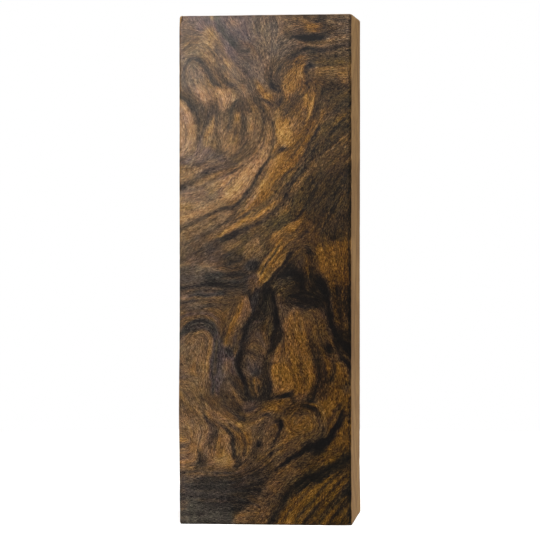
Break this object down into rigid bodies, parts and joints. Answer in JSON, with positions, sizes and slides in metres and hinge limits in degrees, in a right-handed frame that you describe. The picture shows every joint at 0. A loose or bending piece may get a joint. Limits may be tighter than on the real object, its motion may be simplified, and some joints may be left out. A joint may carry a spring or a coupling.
{
  "type": "stabilized walnut block",
  "caption": "Rectangular block of figured, resin-stabilized walnut with swirling dark veins on its broad faces and paler sawn sides.",
  "frame": {"origin": "middle of the bottom end, on which the block stands", "axes": "+Z along the block, up; -Y is the outward normal of the figured broad face that the picture shows; +X points to that face's right, where the paler side is"},
  "size_m": [0.041, 0.03, 0.1201],
  "materials": {
    "walnut": "sanded broad faces with a satin sheen, dry sawn sides and ends"
  },
  "bodies": {
    "root": {"walnut_block": "walnut"}
  },
  "joints": []
}
